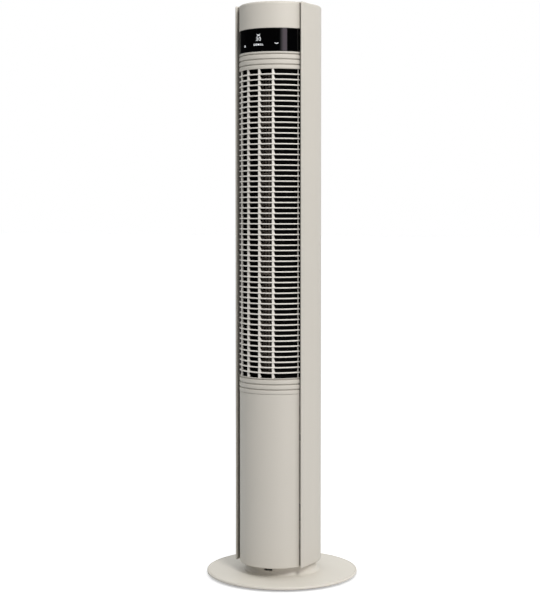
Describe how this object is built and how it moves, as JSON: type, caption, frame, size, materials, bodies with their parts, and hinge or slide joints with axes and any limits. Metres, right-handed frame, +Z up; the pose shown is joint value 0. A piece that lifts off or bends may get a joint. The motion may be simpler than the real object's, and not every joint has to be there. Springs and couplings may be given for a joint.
{
  "type": "tower fan",
  "caption": "Free-standing column tower fan: a slatted convex front between two side panels, a touch display band, a cross-flow impeller inside, and a round base on which the column swivels.",
  "frame": {"origin": "middle of the round base's footprint, on the floor, on the column's swivel axis", "axes": "+Z up along the swivel axis, -Y the front with the air outlet and the display, +X to the right of someone who faces the back"},
  "size_m": [0.3, 0.3, 1.131],
  "materials": {
    "shell": "fine satin grain, warm greige",
    "grille": "fine satin grain, warm greige",
    "base_shell": "fine satin grain, warm greige",
    "recess": "fine satin grain, warm greige",
    "display_gloss": "high gloss black",
    "inner_black": "matte black",
    "rubber": "matte black",
    "cable": "matte dark sleeve",
    "zinc_steel": "zinc plated",
    "ballast_steel": "blackened plate",
    "screw_steel": "zinc plated",
    "shaft_steel": "ground",
    "nylon": "natural nylon",
    "circuit_board": "green solder mask",
    "components": "black moulded",
    "bronze": "sintered bronze",
    "winding": "enamelled copper",
    "impeller_plastic": "dark grey, satin"
  },
  "bodies": {
    "base": {"base_cover": "base_shell", "base_tray": "base_shell", "ballast_plate": "ballast_steel", "rubber_feet": "rubber", "base_screws": "screw_steel", "swivel_collar": "base_shell", "collar_screws": "screw_steel", "pivot_post": "zinc_steel", "post_screws": "screw_steel", "bearing_ring": "nylon", "fixed_gear": "nylon", "gear_screws": "screw_steel"},
    "impeller": {"impeller_segment_1": "impeller_plastic", "impeller_segment_2": "impeller_plastic", "impeller_segment_3": "impeller_plastic", "impeller_segment_4": "impeller_plastic", "impeller_segment_5": "impeller_plastic", "impeller_segment_6": "impeller_plastic", "impeller_top_disc": "impeller_plastic", "impeller_hub": "rubber", "stub_shaft": "shaft_steel", "motor_shaft": "shaft_steel", "motor_rotor": "zinc_steel"},
    "pinion": {"drive_pinion": "nylon", "pinion_shaft": "shaft_steel"},
    "column": {"turntable": "shell", "side_panel_left": "shell", "side_panel_right": "shell", "rear_cover": "shell", "rear_inlet_grille": "grille", "handle_cup": "recess", "top_cap": "shell", "display_lens": "display_gloss", "upper_ring_trim": "shell", "front_grille": "grille", "lower_ring_trim": "shell", "lower_front_panel": "shell", "display_board": "circuit_board", "led_module": "inner_black", "touch_springs": "bronze", "ir_receiver": "components", "buzzer": "inner_black", "air_duct": "inner_black", "bearing_rubber": "rubber", "upper_bearing": "bronze", "motor_bracket": "zinc_steel", "motor_can": "zinc_steel", "motor_stator": "winding", "motor_dampers": "rubber", "motor_screws": "screw_steel", "lower_chassis": "inner_black", "power_board": "circuit_board", "power_components": "components", "oscillation_bracket": "zinc_steel", "oscillation_motor": "zinc_steel", "oscillation_screws": "screw_steel", "cord_gland": "rubber", "wiring_loom": "cable", "housing_screws": "screw_steel"}
  },
  "joints": [
    {"name": "swivel", "type": "hinge", "parent": "base", "child": "column", "pos_m": [0, 0, 0.03], "axis": [0, 0, 1], "range_deg": [-45, 45]},
    {"name": "impeller_spin", "type": "hinge", "parent": "column", "child": "impeller", "pos_m": [0.008, -0.008, 0.7], "axis": [0, 0, 1], "continuous": true},
    {"name": "pinion_spin", "type": "hinge", "parent": "column", "child": "pinion", "pos_m": [0, 0.0448, 0.047], "axis": [0, 0, 1], "range_deg": [-140, 140]}
  ],
  "couplings": [
    {"joint": "pinion_spin", "follows": "swivel", "ratio": 3}
  ]
}
